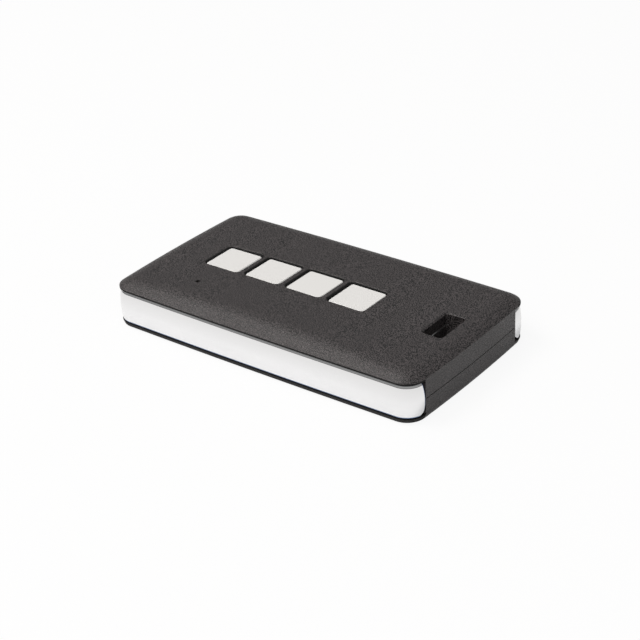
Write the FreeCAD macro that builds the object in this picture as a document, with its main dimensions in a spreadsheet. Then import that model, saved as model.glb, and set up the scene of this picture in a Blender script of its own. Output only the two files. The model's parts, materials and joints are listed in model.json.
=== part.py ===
"""Four-button wi-fi remote control, drawn in millimetres.

Frame: the origin is the middle of the underside, +X runs along the case to the lanyard slot,
-Y is the front long side and +Z is up through the buttons.
"""
import FreeCAD, Part
import Sketcher
import math
import os
import re

# Driving sizes, in millimetres and degrees
SIZES = {
    # Case outline: four bowed sides with rounded corners
    "body_length": 75.3,
    "body_width": 41.3,
    "side_radius": 2180,
    "end_radius": 365,
    "corner_radius": 4.1,
    # Case heights above the underside
    "parting_height": 4.49,
    "parting_gap": 0.16,
    "crown_height": 10.77,
    "crown_radius": 877,
    "roll_height": 2.09,
    "roll_angle": 35,
    "roll_share": 0.9,
    "base_easing": 0.9,
    "base_angle": 67.5,
    # Case walls and the joint between the two halves
    "floor_thickness": 1.1,
    "ceiling_thickness": 1.57,
    "cavity_inset": 2.4,
    "tongue_inset": 1.75,
    "tongue_height": 1.0,
    "joint_clearance": 0.1,
    # Chromed side trims
    "trim_depth": 1.0,
    "trim_back_gap": 0.1,
    "trim_low": 1.19,
    "trim_drop": 0.45,
    "trim_gap": 0.12,
    "trim_stand": 0.15,
    "trim_barrel": 18,
    "trim_bulge_height": 4.3,
    "trim_end_radius": 16,
    "trim_end_reach": 0.9,
    "trim_end_gap": 0.17,
    "trim_end_base_corner": 1.7,
    "trim_end_top_corner": 0.5,
    # Pegs that locate each trim in the lower case half
    "peg_size": 1.2,
    "peg_length": 0.45,
    "peg_spacing": 24,
    "peg_height": 2.6,
    "peg_clearance": 0.05,
    # Keys and their openings
    "key_web": 2.0,
    "key_row_x": -5.4,
    "key_size": 8.5,
    "key_corner": 0.65,
    "key_clearance": 0.15,
    "key_recess": 0.33,
    "key_edge_chamfer": 0.15,
    "key_side_wall": 1.0,
    "key_hollow": 1.1,
    "key_rib": 0.7,
    "plunger_size": 2.6,
    "flange_width": 0.6,
    "flange_thickness": 0.7,
    "flange_play": 0.05,
    "frame_depth": 1.87,
    "key_lift": 0.8,
    "frame_border": 0.9,
    "opening_chamfer": 0.35,
    "chamfer_angle": 45,
    # Lanyard slot
    "slot_inset": 6.92,
    "slot_length": 4.45,
    "slot_width": 8.93,
    "slot_corner": 0.7,
    "slot_chamfer": 0.2,
    "slot_wall": 0.9,
    "skirt_depth": 2.77,
    "skirt_gap": 0.05,
    "sleeve_step": 0.1,
    # Indicator pinhole
    "pinhole_x": -21.0,
    "pinhole_y": -11.8,
    "pinhole_radius": 0.5,
    # Housing screws and what they hold
    "screw_far_inset": 7.05,
    "screw_near_inset": 14.05,
    "screw_side_inset": 6.75,
    "screw_radius": 1.0,
    "screw_spare": 1.0,
    "screw_clearance": 0.05,
    "screw_head_radius": 1.8,
    "screw_head_height": 1.3,
    "screw_cross_width": 0.5,
    "screw_cross_span": 2.2,
    "screw_cross_depth": 0.8,
    "pillar_size": 6.2,
    "pillar_drop": 1.25,
    "pillar_hole_radius": 1.2,
    "counterbore_clearance": 0.25,
    "screw_seat": 1.2,
    "boss_size": 4.4,
    "boss_gap": 0.05,
    "boss_hole_spare": 0.3,
    # Circuit board and its supports
    "board_thickness": 1.0,
    "board_margin": 0.65,
    "board_notch_clearance": 0.3,
    "post_size": 2.2,
    "post_far_step": 3.1,
    "post_near_step": 3.6,
    "post_gap": 0.05,
    "hold_inset": 3.1,
    "pin_size": 1.2,
    "pin_height": 0.8,
    "pin_clearance": 0.1,
    # Coin cell, its cup and its contacts
    "cell_x": 6.0,
    "cell_radius": 10.0,
    "cell_cap_radius": 8.4,
    "cell_cap_step": 0.25,
    "cup_clearance": 0.3,
    "cup_wall": 0.8,
    "cup_rib": 4.0,
    "cup_drop": 1.3,
    "strap_gap": 0.15,
    "strap_thickness": 0.25,
    "strap_width": 6.0,
    "strap_foot": 2.8,
    "strap_clearance": 0.5,
    "pad_size": 7.0,
    "pad_thickness": 0.15,
    # Tact switches
    "switch_size": 5.2,
    "switch_height": 1.3,
    "switch_well_size": 4.2,
    "switch_well_depth": 0.8,
    "switch_frame_thickness": 0.2,
    "switch_tab_width": 3.0,
    "switch_tab_drop": 0.9,
    "switch_tab_thickness": 0.12,
    "lead_length": 0.8,
    "lead_width": 0.6,
    "lead_thickness": 0.2,
    "lead_spacing": 3.6,
    "dome_size": 3.8,
    "dome_crown": 2.4,
    "dome_rise": 0.35,
    "dome_thickness": 0.1,
    "stem_size": 2.0,
    "stem_clearance": 0.15,
    "stem_collar_width": 0.5,
    "stem_collar_height": 0.25,
    "stem_play": 0.05,
    "stem_proud": 0.4,
    # Radio module
    "module_gap": 2.25,
    "module_margin": 0.55,
    "module_width": 13.0,
    "module_thickness": 0.8,
    "castellation_size": 0.6,
    "castellation_pitch": 1.27,
    "antenna_length": 3.1,
    "shield_margin": 0.7,
    "shield_height": 1.8,
    "trace_width": 0.4,
    "trace_thickness": 0.1,
    "trace_reach": 1.8,
    "trace_pitch": 1.1,
    # Small parts on the board
    "controller_share": 0.398,
    "controller_size": 5.0,
    "controller_height": 0.9,
    "controller_mark_size": 0.6,
    "controller_mark_depth": 0.1,
    "crystal_y": -5.4,
    "crystal_length": 3.2,
    "crystal_width": 2.5,
    "crystal_height": 0.8,
    "crystal_lid_margin": 0.25,
    "crystal_lid_height": 0.2,
    "regulator_y": 5.4,
    "regulator_length": 2.9,
    "regulator_width": 1.4,
    "regulator_height": 1.0,
    "regulator_lead": 0.5,
    "regulator_lead_pitch": 0.95,
    "chip_step": 4.4,
    "chip_row_inset": 8.6,
    "chip_row_step": 0.4,
    "chip_edge_inset": 5.0,
    "chip_edge_step": 1.7,
    "chip_length": 1.6,
    "chip_width": 0.8,
    "capacitor_height": 0.8,
    "resistor_height": 0.5,
    "led_length": 1.6,
    "led_width": 0.8,
    "led_base_height": 0.4,
    "led_lens_size": 0.6,
    "led_lens_height": 0.35,
}

# Places worked out from the driving sizes
PLACES = {
    "half_length": "body_length / 2",
    "half_width": "body_width / 2",
    # How far the bowed front side has fallen back at the ends, and where its corners end
    "side_fall": "body_length ^ 2 / 8 / side_radius",
    "corner_end": "half_width - corner_radius - side_fall",
    # Both trims are one moulding, turned end for end: one end stops at the corner, one past it
    "recess_short": "corner_end",
    "recess_long": "corner_end - trim_end_reach",
    "recess_short_x": "half_length - end_radius + sqrt(end_radius ^ 2 - recess_short ^ 2)",
    "recess_long_x": "half_length - end_radius + sqrt(end_radius ^ 2 - recess_long ^ 2)",
    "edge_height": "crown_height - roll_height",
    # The roll-off takes this share of what the sloped band leaves of each corner's radius
    "ridge_height": "crown_height - (half_length - corner_radius) ^ 2 / 2 / crown_radius",
    "ridge_corner": "corner_radius - (ridge_height - edge_height) / tan(roll_angle)",
    "roll_radius": "roll_share * ridge_corner / tan(roll_angle / 2)",
    "trim_high": "edge_height - trim_drop",
    "ceiling_height": "crown_height - ceiling_thickness",
    "frame_low": "crown_height - frame_depth",
    "skirt_low": "crown_height - skirt_depth",
    "slot_x": "half_length - slot_inset",
    "screw_far_x": "screw_far_inset - half_length",
    "screw_near_x": "half_length - screw_near_inset",
    "screw_y": "half_width - screw_side_inset",
    "base_step": "base_easing / (1 + tan(base_angle))",
    "upper_rim": "parting_height + parting_gap / 2",
    "lower_rim": "parting_height - parting_gap / 2",
    "tongue_top": "lower_rim + tongue_height",
    "ledge_height": "trim_high + trim_gap",
    "lip_height": "trim_low - trim_gap",
    "trim_axis": "half_width + trim_stand - trim_barrel",
    "trim_back": "half_width - trim_depth + trim_back_gap",
    "trim_short_axis": "recess_short + trim_end_gap + trim_end_radius",
    "trim_long_axis": "recess_long + trim_end_gap + trim_end_radius",
    "trim_stop": "recess_short + trim_end_gap / 2",
    "key_pitch": "key_size + key_web",
    "opening_size": "key_size + 2 * key_clearance",
    "opening_corner": "key_corner + key_clearance",
    "frame_width": "opening_size + 2 * frame_border",
    "row_reach": "key_pitch * 3",
    "key_inside": "key_size - 2 * key_side_wall",
    "sleeve_top": "skirt_low - skirt_gap",
    "sleeve_length": "slot_length - 2 * sleeve_step",
    "sleeve_width": "slot_width - 2 * sleeve_step",
    "sleeve_corner": "slot_corner - sleeve_step",
    "strap_low": "floor_thickness + strap_gap",
    "cell_low": "strap_low + strap_thickness",
    "cell_top": "board_low - pad_thickness",
    "cup_height": "cell_top - cup_drop",
    "cup_radius": "cell_radius + cup_clearance",
    "cup_reach": "cup_radius + cup_wall / 2",
    "cup_side": "strap_width / 2 + strap_clearance + cup_rib / 2",
    "board_low": "board_top - board_thickness",
    "board_top": "switch_top - switch_height",
    "board_far": "cavity_inset + board_margin - half_length",
    "board_near": "slot_x - slot_length / 2 - slot_wall - board_margin",
    "board_width": "body_width - 2 * cavity_inset - 2 * board_margin",
    "hold_y": "board_width / 2 - hold_inset",
    "chip_row": "board_width / 2 - chip_row_inset",
    "chip_edge": "board_width / 2 - chip_edge_inset",
    "notch_length": "boss_size / 2 + board_notch_clearance",
    "pillar_height": "board_low - pillar_drop",
    "counterbore_depth": "pillar_height - screw_seat",
    "boss_low": "pillar_height + boss_gap",
    "screw_head_low": "counterbore_depth - screw_head_height",
    "screw_top": "ceiling_height - screw_spare",
    "switch_top": "frame_top - switch_frame_thickness",
    "frame_top": "flange_low - key_lift",
    "well_floor": "switch_top - switch_well_depth",
    "stem_low": "well_floor + dome_rise + dome_thickness + stem_play",
    "stem_top": "frame_top + stem_proud",
    "flange_top": "frame_low - flange_play",
    "flange_low": "flange_top - flange_thickness",
    "module_top": "board_top + module_thickness",
    "lead_reach": "switch_size / 2 + lead_length",
    "module_low_x": "key_row_x + row_reach / 2 + lead_reach + module_gap",
    "module_high_x": "board_near - module_margin",
    "module_x": "(module_low_x + module_high_x) / 2",
    "module_length": "module_high_x - module_low_x",
    "shield_length": "module_length - antenna_length - shield_margin",
    "shield_x": "module_low_x + shield_margin + shield_length / 2",
    # The controller stands this share of the way from the board's end to the first switch
    "controller_x": "board_far + controller_share * (first_leads - board_far)",
    "first_leads": "key_row_x - row_reach / 2 - lead_reach",
    "shield_width": "module_width - 2 * shield_margin",
    "shield_top": "module_top + shield_height",
    "trace_far": "module_x + module_length / 2 - shield_margin - trace_reach",
}

KEY_COUNT = 4
SCREW_PLACES = [(x, y) for x in ("screw_far_x", "screw_near_x") for y in ("-screw_y", "screw_y")]
PEG_PLACES = (("-peg_spacing", "peg_height"), ("peg_spacing", "peg_height"))
# Where the lower half props the board, and where the upper half holds it down
POST_PLACES = (("screw_far_x + post_far_step", "-8.5"), ("screw_far_x + post_far_step", "8.5"),
               ("screw_near_x - post_near_step", "-8.2"), ("screw_near_x - post_near_step", "8.2"))
PIN_PLACES = (POST_PLACES[0], POST_PLACES[3])
HOLD_PLACES = [(x, y) for x in (-15.5, 13.5) for y in ("-hold_y", "hold_y")]
CAPACITOR_PLACES = (("controller_x + chip_step", "-chip_edge"),
                    ("controller_x + chip_step", "chip_edge_step - chip_edge"),
                    (-16.2, "-chip_row"), (-5.6, "-chip_row"), (4.9, "-chip_row"),
                    (15.6, "-chip_row - chip_row_step"))
RESISTOR_PLACES = ((-18.0, "-chip_edge"), (-16.2, "chip_row"), (-5.6, "chip_row"), (4.9, "chip_row"),
                   (13.4, "chip_row + chip_row_step"), (15.6, "chip_row + chip_row_step"))
CASTELLATION_COUNT = 6
ANTENNA_LEGS = 9
# Cutters run this far past what they cut, and ribs this far into the wall that carries them
MARGIN = "1"
SINK = "0.2"
# The sloped band is drawn this much higher than the crown that trims it
SLOPE_MARGIN = "0.1"

V = FreeCAD.Vector
doc = FreeCAD.newDocument("remote_control")
sheet = doc.addObject("Spreadsheet::Sheet", "Sizes")
for row, (alias, value) in enumerate(SIZES.items(), start=1):
    sheet.set(f"A{row}", alias)
    sheet.set(f"B{row}", str(value))
    sheet.setAlias(f"B{row}", alias)
doc.recompute()


def formula(text):
    """The document's expression for a formula written with size and place names."""
    def swap(found):
        word = found.group(0)
        if word in SIZES:
            return "Sizes." + word
        if word in PLACES:
            return "(" + formula(PLACES[word]) + ")"
        return word
    return re.sub(r"[a-z_]+", swap, str(text))


def number(text):
    """The value of a formula."""
    return float(sheet.evalExpression(formula(text)))


# Bodies and sketches

nodes = []


def new_body(label, x="0", y="0"):
    """A named body that becomes one node, drawn about its own place in plan."""
    body = doc.addObject("PartDesign::Body", label)
    body.Label = label
    body.AllowCompound = True
    body.setExpression("Placement.Base.x", formula(x))
    body.setExpression("Placement.Base.y", formula(y))
    nodes.append(body)
    return body


def origin_plane(body, role):
    """One of the body's own origin planes."""
    return [feature for feature in body.Origin.OriginFeatures if feature.Role == role][0]


def new_sketch(body, height="0", plane="XY_Plane"):
    """A sketch on an origin plane of the body, moved along that plane's normal."""
    sketch = body.newObject("Sketcher::SketchObject", "profile")
    sketch.AttachmentSupport = [(origin_plane(body, plane), "")]
    sketch.MapMode = "FlatFace"
    sketch.setExpression("AttachmentOffset.Base.z", formula(height))
    return sketch


def bind(sketch, kind, places, text):
    """A dimension of the sketch that follows a formula."""
    index = sketch.addConstraint(Sketcher.Constraint(kind, *places, number(text)))
    sketch.setExpression(f"Constraints[{index}]", formula(text))


def place_point(sketch, item, point, x, y):
    """Fix a point of the sketch at two formulas."""
    bind(sketch, "DistanceX", (-1, 1, item, point), x)
    bind(sketch, "DistanceY", (-1, 1, item, point), y)


def arc_about(x, y, radius, start, end):
    """A circular arc between two angles in radians."""
    return Part.ArcOfCircle(Part.Circle(V(x, y, 0), V(0, 0, 1), radius), start, end)


def arc_between(first, last, radius):
    """A short arc from one point to another that turns left, or right if the radius is negative."""
    chord = last - first
    apothem = math.sqrt(radius ** 2 - (chord.Length / 2) ** 2)
    side = 1 if radius > 0 else -1
    middle = (first + last) / 2 + V(-chord.y, chord.x, 0).normalize() * apothem * side
    angles = [math.atan2(point.y - middle.y, point.x - middle.x) for point in (first, last)]
    if side < 0:
        angles.reverse()
    return arc_about(middle.x, middle.y, abs(radius), *angles)


def figure(sketch, corners, bows=None):
    """A closed figure through corners given as formulas, counterclockwise, with some sides bowed.

    bows gives the radius of a bowed side by the index of its first corner. A radius with a
    leading minus bows the side inwards.
    """
    bows = bows or {}
    points = [V(number(x), number(y), 0) for x, y in corners]
    count = len(points)
    items, starts, ends = [], [], []
    for i in range(count):
        first, last = points[i], points[(i + 1) % count]
        inward = bows.get(i, "").startswith("-")
        side = arc_between(first, last, number(bows[i])) if i in bows else Part.LineSegment(first, last)
        items.append(sketch.addGeometry(side, False))
        starts.append(2 if inward else 1)
        ends.append(1 if inward else 2)
    for i in range(count):
        after = (i + 1) % count
        place_point(sketch, items[i], starts[i], *corners[i])
        joint = (items[i], ends[i], items[after], starts[after])
        sketch.addConstraint(Sketcher.Constraint("Coincident", *joint))
        if i in bows:
            bind(sketch, "Radius", (items[i],), bows[i].lstrip("-"))


def rectangle(sketch, x, y, length, width):
    """A rectangle about its middle."""
    left, right = f"{x} - ({length}) / 2", f"{x} + ({length}) / 2"
    low, high = f"{y} - ({width}) / 2", f"{y} + ({width}) / 2"
    figure(sketch, ((left, low), (right, low), (right, high), (left, high)))


def rectangles(sketch, places, length, width):
    """One rectangle about each place."""
    for x, y in places:
        rectangle(sketch, x, y, length, width)


def circle(sketch, x, y, radius):
    """A circle about a point given as formulas."""
    middle = V(number(x), number(y), 0)
    item = sketch.addGeometry(Part.Circle(middle, V(0, 0, 1), number(radius)), False)
    bind(sketch, "Radius", (item,), radius)
    place_point(sketch, item, 3, x, y)


def circles(sketch, places, radius):
    """One circle about each place."""
    for x, y in places:
        circle(sketch, x, y, radius)


def rounded_rectangle(sketch, x, y, length, width, corner):
    """A rectangle about its middle with rounded corners."""
    quarter = math.pi / 2
    radius = number(corner)
    reach_x, reach_y = f"(({length}) / 2 - ({corner}))", f"(({width}) / 2 - ({corner}))"
    centres = [(f"{x} {i} {reach_x}", f"{y} {j} {reach_y}") for i, j in ("+-", "++", "-+", "--")]
    middles = [V(number(a), number(b), 0) for a, b in centres]
    sides = []
    for k, middle in enumerate(middles):
        start = (k - 1) * quarter
        step = V(math.cos(start + quarter), math.sin(start + quarter), 0) * radius
        sides.append(arc_about(middle.x, middle.y, radius, start, start + quarter))
        sides.append(Part.LineSegment(middle + step, middles[(k + 1) % 4] + step))
    items = sketch.addGeometry(sides, False)
    for k in range(8):
        sketch.addConstraint(Sketcher.Constraint("Tangent", items[k], 2, items[(k + 1) % 8], 1))
    for k in range(4):
        bind(sketch, "Radius", (items[2 * k],), corner)
        place_point(sketch, items[2 * k], 3, *centres[k])


def square(sketch, size, corner):
    """A square about the sketch's origin with rounded corners."""
    rounded_rectangle(sketch, "0", "0", size, size, corner)


def outline_arcs(inset):
    """The eight arcs of the case outline, offset inwards, from the front side round to the left.

    Each corner arc touches both neighbours, so its middle is closed in on as the point that
    lies the right distance from both of their middles.
    """
    half_length, half_width = number(f"half_length - ({inset})"), number(f"half_width - ({inset})")
    side, end = number(f"side_radius - ({inset})"), number(f"end_radius - ({inset})")
    corner = number(f"corner_radius - ({inset})")
    side_y, end_x = side - half_width, end - half_length
    x, y = half_length - corner, corner - half_width
    for _ in range(40):
        y = side_y - math.sqrt((side - corner) ** 2 - x ** 2)
        x = math.sqrt((end - corner) ** 2 - y ** 2) - end_x
    lean = math.atan2(y - side_y, x)
    swing = math.atan2(y, x + end_x)
    half = math.pi
    return [
        arc_about(0, side_y, side, -half - lean, lean),
        arc_about(x, y, corner, lean, swing),
        arc_about(-end_x, 0, end, swing, -swing),
        arc_about(x, -y, corner, -swing, -lean),
        arc_about(0, -side_y, side, -lean, half + lean),
        arc_about(-x, -y, corner, half + lean, half + swing),
        arc_about(end_x, 0, end, half + swing, half - swing),
        arc_about(-x, y, corner, half - swing, half - lean),
    ]


# Radius and middle of each bowed side of the outline, by its index. The rest are corners.
OUTLINE_BOWS = {
    0: ("side_radius", ("0", "side_radius - half_width")),
    2: ("end_radius", ("half_length - end_radius", "0")),
    4: ("side_radius", ("0", "half_width - side_radius")),
    6: ("end_radius", ("end_radius - half_length", "0")),
}


def bind_outline_arc(sketch, item, index, inset):
    """Tie one arc of the outline to the sizes."""
    radius, middle = OUTLINE_BOWS.get(index, ("corner_radius", None))
    bind(sketch, "Radius", (item,), f"{radius} - ({inset})")
    if middle:
        place_point(sketch, item, 3, *middle)


def case_outline(sketch, inset="0"):
    """The whole outline of the case, offset inwards."""
    items = sketch.addGeometry(outline_arcs(inset), False)
    for k in range(8):
        sketch.addConstraint(Sketcher.Constraint("Tangent", items[k], 2, items[(k + 1) % 8], 1))
        bind_outline_arc(sketch, items[k], k, inset)


def end_band(sketch):
    """The stretch of the case between its trims: bowed ends and straight flanks."""
    corners = (("recess_short_x", "-recess_short"), ("recess_long_x", "recess_long"),
               ("-recess_short_x", "recess_short"), ("-recess_long_x", "-recess_long"))
    figure(sketch, corners, {0: "end_radius", 2: "end_radius"})


# Features

def add(body, sketch, length, back=False, both=False):
    """Pad a sketch along its normal, back from it, or both ways."""
    pad = body.newObject("PartDesign::Pad", "pad")
    pad.Profile = sketch
    pad.setExpression("Length", formula(length))
    pad.Reversed = back
    pad.Midplane = both
    return pad


def layer(body, low, high, draw, slope=None):
    """Material between two heights, in the plan that draw makes."""
    sketch = new_sketch(body, low)
    draw(sketch)
    pad = add(body, sketch, f"({high}) - ({low})")
    if slope:
        pad.setExpression("TaperAngle", formula(slope))
    return pad


def hollow(body, low, high, draw, slope=None):
    """A pocket between two heights, in the plan that draw makes, widening upwards by a slope."""
    sketch = new_sketch(body, low)
    draw(sketch)
    pocket = body.newObject("PartDesign::Pocket", "pocket")
    pocket.Profile = sketch
    pocket.Reversed = True
    pocket.setExpression("Length", formula(f"({high}) - ({low})"))
    if slope:
        pocket.setExpression("TaperAngle", formula(slope))
    return pocket


def cut_through(body, sketch):
    """Cut a sketch through the whole body, both ways."""
    pocket = body.newObject("PartDesign::Pocket", "pocket")
    pocket.Profile = sketch
    pocket.Midplane = True
    pocket.Type = 1
    return pocket


def turn(body, draw):
    """Turn the profile that draw makes once round the body's upright axis."""
    sketch = new_sketch(body, "0", "XZ_Plane")
    draw(sketch)
    turned = body.newObject("PartDesign::Revolution", "turned")
    turned.Profile = sketch
    turned.ReferenceAxis = (sketch, ["V_Axis"])
    turned.Angle = 360
    return turned


def middle_of(edge):
    """The point halfway along an edge."""
    return edge.valueAt((edge.FirstParameter + edge.LastParameter) / 2)


def round_edges(body, radius, wanted):
    """Round those edges of the body's last feature that pass a test."""
    doc.recompute()
    last = body.Tip
    names = [f"Edge{i}" for i, edge in enumerate(last.Shape.Edges, start=1)
             if not edge.Degenerated and wanted(edge)]
    rounding = body.newObject("PartDesign::Fillet", "rounding")
    rounding.Base = (last, names)
    rounding.setExpression("Radius", formula(radius))
    return rounding


def crown_at(top, x):
    """Height of the crown, which arches along the case, at a place along it."""
    return f"({top} - crown_radius + sqrt(crown_radius ^ 2 - ({x}) ^ 2))"


def cut_crown(body, top, reach, x="0"):
    """Trim a body that stands at a place along the case to the crown."""
    left, right, above = f"-({reach})", f"({reach})", f"{top} + {MARGIN}"
    sketch = new_sketch(body, "0", "XZ_Plane")
    corners = ((left, above), (left, crown_at(top, f"{left} + {x}")),
               (right, crown_at(top, f"{right} + {x}")), (right, above))
    figure(sketch, corners, {1: "-crown_radius"})
    return cut_through(body, sketch)


# Case halves

def key_place(key):
    """How far along the case a key stands, counted from 0."""
    return f"(key_row_x + {key - (KEY_COUNT - 1) / 2} * key_pitch)"


def make_top_cover():
    """Upper case half: crowned shell with the key openings, the slot's skirt and screw bosses."""
    body = new_body("top_cover")
    layer(body, "upper_rim", "edge_height", lambda s: case_outline(s, "trim_depth"))
    layer(body, "upper_rim", "edge_height", end_band)
    layer(body, "ledge_height", "edge_height", case_outline)
    layer(body, "edge_height", f"crown_height + {SLOPE_MARGIN}", case_outline, "roll_angle - 90")
    cut_crown(body, "crown_height", f"half_length + {MARGIN}")
    ridge_low = number(f"edge_height + {SLOPE_MARGIN}")
    clear_x, clear_y = number("half_length - corner_radius"), number("half_width - corner_radius")

    def on_ridge(item):
        middle = middle_of(item)
        outside = abs(middle.x) > clear_x or abs(middle.y) > clear_y
        return outside and item.BoundBox.ZMin > ridge_low
    round_edges(body, "roll_radius", on_ridge)

    # Inside: the cavity, the rebate for the lower half's tongue and what hangs from the ceiling
    hollow(body, "upper_rim", "ceiling_height", lambda s: case_outline(s, "cavity_inset"))
    hollow(body, "upper_rim", "tongue_top + joint_clearance",
           lambda s: case_outline(s, "tongue_inset - joint_clearance"))
    ceiling = f"ceiling_height + {SINK}"
    layer(body, "frame_low", ceiling, lambda s: rectangle(
        s, "key_row_x", "0", "row_reach + frame_width", "frame_width"))
    layer(body, "skirt_low", ceiling, lambda s: rectangle(
        s, "slot_x", "0", "slot_length + 2 * slot_wall", "slot_width + 2 * slot_wall"))
    layer(body, "boss_low", ceiling, lambda s: rectangles(s, SCREW_PLACES, "boss_size", "boss_size"))
    layer(body, "board_top + post_gap", ceiling,
          lambda s: rectangles(s, HOLD_PLACES, "post_size", "post_size"))
    hollow(body, "boss_low", "screw_top + boss_hole_spare",
           lambda s: circles(s, SCREW_PLACES, "screw_radius + screw_clearance"))

    # Openings: one key opening repeated along the row, the slot and the pinhole
    above = f"crown_height + {MARGIN}"
    first = hollow(body, f"frame_low - {SINK}", above, lambda s: rounded_rectangle(
        s, "key_row_x - row_reach / 2", "0", "opening_size", "opening_size", "opening_corner"))
    pattern = body.newObject("PartDesign::LinearPattern", "key_row")
    pattern.Originals = [first]
    pattern.Direction = (first.Profile[0], ["H_Axis"])
    pattern.setExpression("Length", formula("row_reach"))
    pattern.Occurrences = KEY_COUNT
    body.Tip = pattern
    for key in range(KEY_COUNT):
        x = key_place(key)
        rim = f"{crown_at('crown_height', x)} - opening_chamfer"
        hollow(body, rim, above, lambda s: rounded_rectangle(
            s, x, "0", "opening_size", "opening_size", "opening_corner"), "chamfer_angle")
    hollow(body, f"skirt_low - {SINK}", above, lambda s: rounded_rectangle(
        s, "slot_x", "0", "slot_length", "slot_width", "slot_corner"))
    rim = f"{crown_at('crown_height', 'slot_x')} - slot_chamfer"
    hollow(body, rim, above, lambda s: rounded_rectangle(
        s, "slot_x", "0", "slot_length", "slot_width", "slot_corner"), "chamfer_angle")
    hollow(body, f"ceiling_height - {SINK}", above,
           lambda s: circle(s, "pinhole_x", "pinhole_y", "pinhole_radius"))


def make_bottom_cover():
    """Lower case half: a tray with a tongue, the slot's sleeve, screw pillars, posts and a cell cup."""
    body = new_body("bottom_cover")
    layer(body, "0", "base_step", lambda s: case_outline(s, "base_easing"), "base_angle")
    layer(body, "base_step", "base_easing", lambda s: case_outline(s, "base_step"), "90 - base_angle")
    layer(body, "base_easing", "lip_height", case_outline)
    layer(body, "base_easing", "lower_rim", lambda s: case_outline(s, "trim_depth"))
    layer(body, "base_easing", "lower_rim", end_band)
    layer(body, f"lower_rim - {SINK}", "tongue_top", lambda s: case_outline(s, "tongue_inset"))
    hollow(body, "floor_thickness", f"tongue_top + {MARGIN}", lambda s: case_outline(s, "cavity_inset"))

    # On the floor: ribs round the cell, slot sleeve, screw pillars and board posts with their pins
    floor = f"floor_thickness - {SINK}"
    layer(body, floor, "cup_height", lambda s: rectangles(
        s, [(f"cell_x {i} cup_reach", "0") for i in "-+"], "cup_wall", "cup_rib"))
    layer(body, floor, "cup_height", lambda s: rectangles(
        s, [(f"cell_x {i} cup_side", f"{j} cup_reach") for i in "-+" for j in "-+"],
        "cup_rib", "cup_wall"))
    layer(body, floor, "sleeve_top", lambda s: rectangle(
        s, "slot_x", "0", "sleeve_length + 2 * slot_wall", "sleeve_width + 2 * slot_wall"))
    layer(body, floor, "pillar_height",
          lambda s: rectangles(s, SCREW_PLACES, "pillar_size", "pillar_size"))
    layer(body, floor, "board_low", lambda s: rectangles(s, POST_PLACES, "post_size", "post_size"))
    layer(body, f"board_low - {SINK}", "board_low + pin_height",
          lambda s: rectangles(s, PIN_PLACES, "pin_size", "pin_size"))
    hollow(body, "0", f"sleeve_top + {MARGIN}", lambda s: rounded_rectangle(
        s, "slot_x", "0", "sleeve_length", "sleeve_width", "sleeve_corner"))
    hollow(body, "0", "counterbore_depth",
           lambda s: circles(s, SCREW_PLACES, "screw_head_radius + counterbore_clearance"))
    hollow(body, "0", f"pillar_height + {MARGIN}",
           lambda s: circles(s, SCREW_PLACES, "pillar_hole_radius"))

    # Holes in the front wall for the trim's pegs, mirrored to the rear wall
    sketch = new_sketch(body, "half_width", "XZ_Plane")
    hole = "peg_size + 2 * peg_clearance"
    rectangles(sketch, PEG_PLACES, hole, hole)
    holes = body.newObject("PartDesign::Pocket", "peg_holes")
    holes.Profile = sketch
    holes.setExpression("Length", formula(
        "half_width - trim_back + trim_back_gap + peg_length + peg_clearance"))
    mirrored = body.newObject("PartDesign::Mirrored", "rear_peg_holes")
    mirrored.Originals = [holes]
    mirrored.MirrorPlane = (origin_plane(body, "XZ_Plane"), [""])
    body.Tip = mirrored


# Chromed trims

def trim_path(sketch):
    """The run of the outline that a trim follows: long end, corner, front side and corner."""
    arcs = outline_arcs("0")
    reach = math.asin(number("recess_long / end_radius"))
    left, last = arcs[6], arcs[1]
    stop = math.asin((number("-trim_stop") - last.Center.y) / last.Radius)
    path = [arc_about(left.Center.x, 0, left.Radius, math.pi + reach, math.pi - arcs[2].FirstParameter),
            arcs[7], arcs[0],
            arc_about(last.Center.x, last.Center.y, last.Radius, last.FirstParameter, stop)]
    items = sketch.addGeometry(path, False)
    for k, index in enumerate((6, 7, 0, 1)):
        bind_outline_arc(sketch, items[k], index, "0")
        if k:
            sketch.addConstraint(Sketcher.Constraint("Tangent", items[k - 1], 2, items[k], 1))
    bind(sketch, "DistanceY", (-1, 1, items[0], 1), "-recess_long")
    bind(sketch, "DistanceY", (-1, 1, items[3], 2), "-trim_stop")


def end_corner(axis, corner, level, way_in):
    """Where a trim's bowed end turns into its top or bottom edge, round a corner."""
    inner = f"(trim_end_radius - {corner})"
    lift = f"({level} - trim_bulge_height {way_in} {corner})"
    back = f"sqrt({inner} ^ 2 - {lift} ^ 2)"
    start = f"-({axis} - {back})"
    bow_y = f"-({axis} - {back} * trim_end_radius / {inner})"
    return start, bow_y, f"trim_bulge_height + {lift} * trim_end_radius / {inner}"


def shape_trim_end(body, axis, far):
    """Cut away what lies inside a trim end's bow, on the far or the near side of the case."""
    base_y, base_bow_y, base_bow_z = end_corner(axis, "trim_end_base_corner", "trim_low", "+")
    top_y, top_bow_y, top_bow_z = end_corner(axis, "trim_end_top_corner", "trim_high", "-")
    below, above = f"trim_low - {MARGIN}", f"trim_high + {MARGIN}"
    sketch = new_sketch(body, "0", "YZ_Plane")
    figure(sketch, (("0", below), ("0", above), (top_y, above), (top_y, "trim_high"),
                    (top_bow_y, top_bow_z), (base_bow_y, base_bow_z), (base_y, "trim_low"),
                    (base_y, below)),
           {3: "-trim_end_top_corner", 4: "-trim_end_radius", 5: "-trim_end_base_corner"})
    pocket = body.newObject("PartDesign::Pocket", "end_cut")
    pocket.Profile = sketch
    pocket.Type = 1
    pocket.Reversed = not far


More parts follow.
